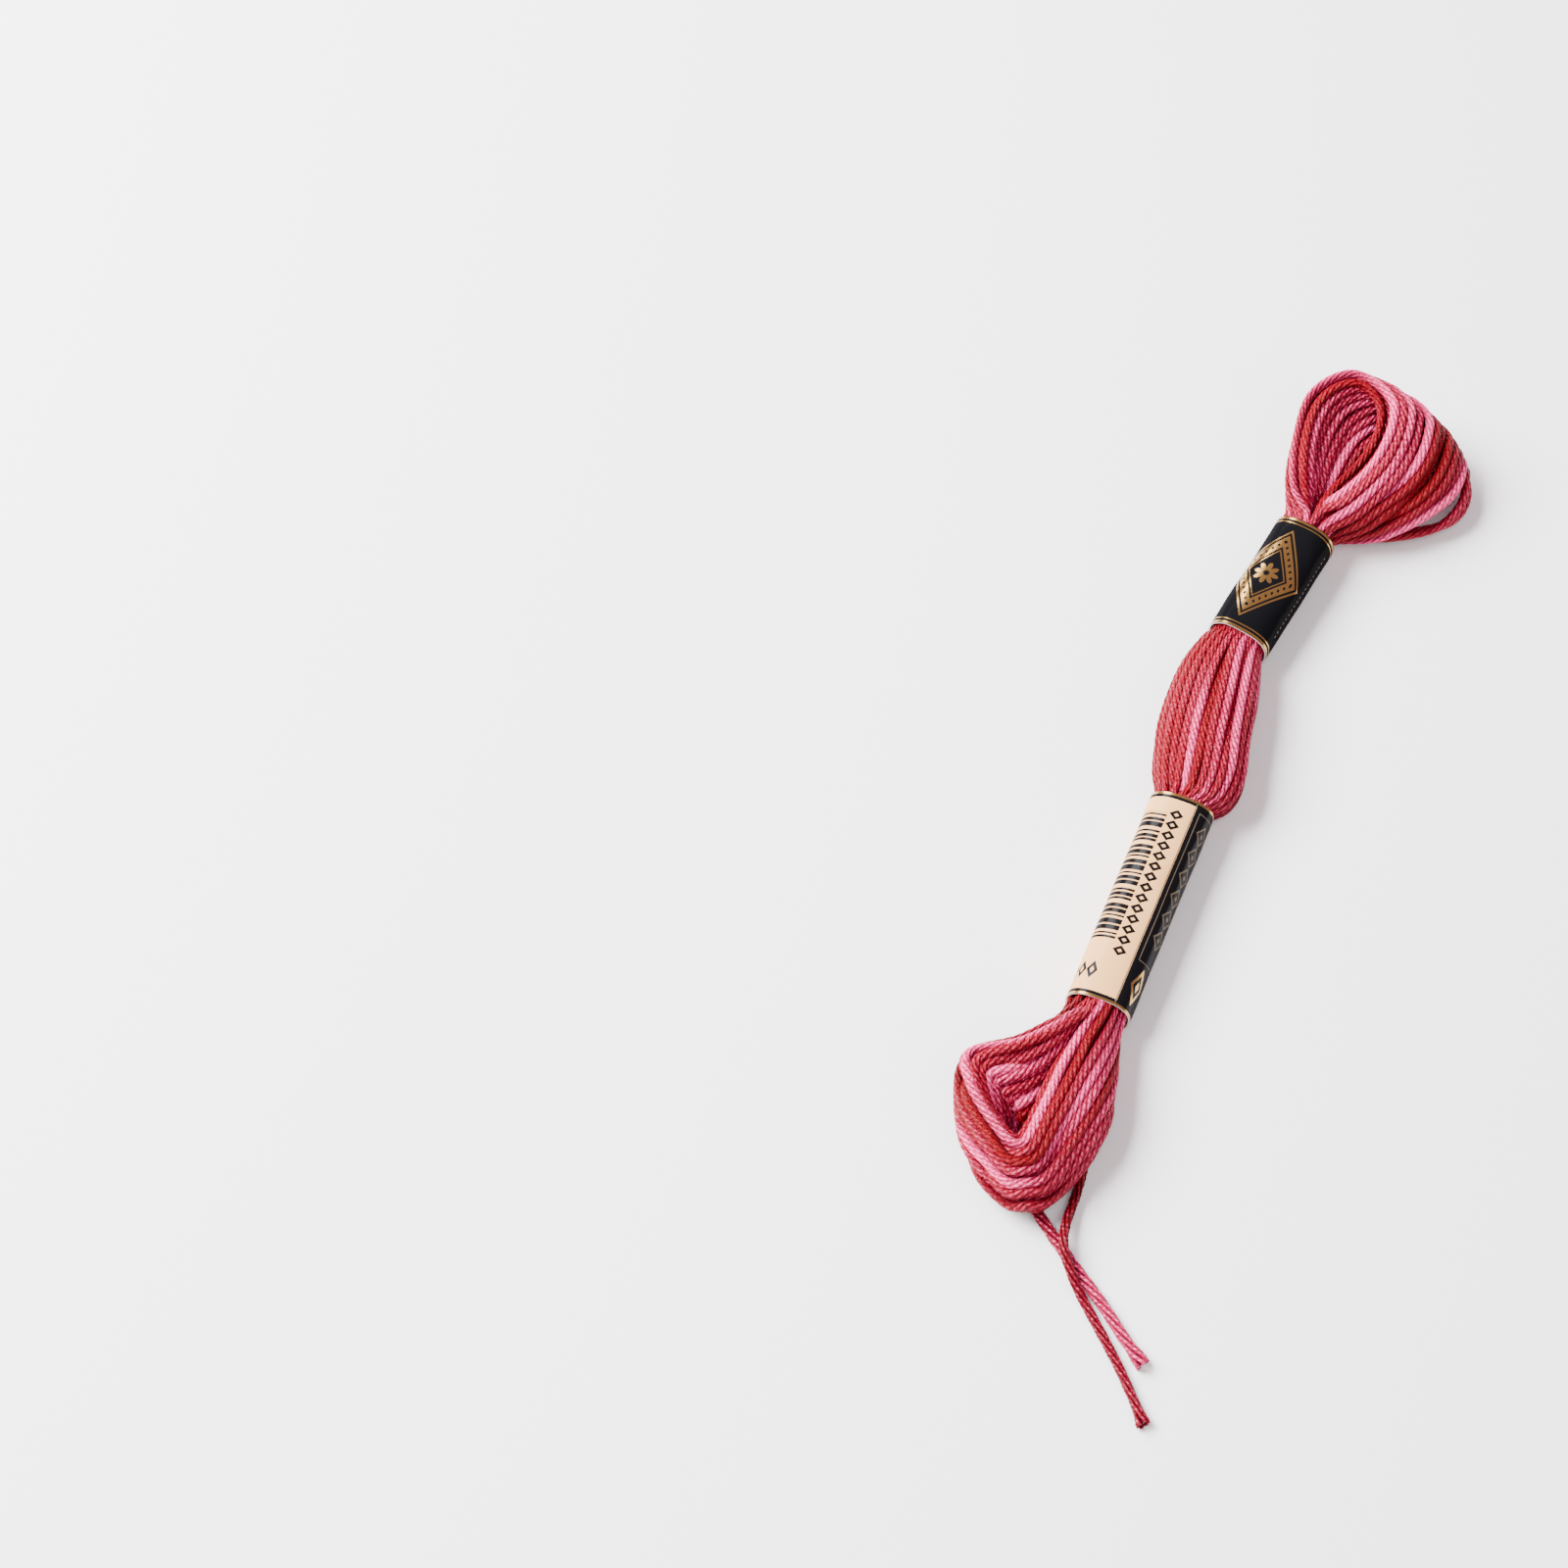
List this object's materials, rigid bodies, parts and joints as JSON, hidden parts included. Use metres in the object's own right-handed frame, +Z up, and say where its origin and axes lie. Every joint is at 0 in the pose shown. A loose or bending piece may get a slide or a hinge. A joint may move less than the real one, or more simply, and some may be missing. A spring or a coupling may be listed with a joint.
{
  "type": "skein of embroidery floss",
  "caption": "Skein of variegated stranded embroidery floss drawn through two paper bands, with a belly between them, a loop at each end and loose thread ends.",
  "frame": {"origin": "on the surface, under the middle of the skein's box without its loose ends", "axes": "+Y along the skein towards the loop past the short band, +Z up from the surface, +X to the right"},
  "size_m": [0.0433, 0.1813, 0.0149],
  "materials": {
    "floss": "mercerised cotton, satin, dyed in lengths of deep red, rose and light pink",
    "upper_paper": "coated black paper with thin gold print",
    "lower_paper": "coated cream paper with plain black bars and a black strip"
  },
  "bodies": {
    "root": {"hank": "floss", "upper_band": "upper_paper", "lower_band": "lower_paper", "loose_end_a": "floss", "loose_end_b": "floss"}
  },
  "joints": []
}
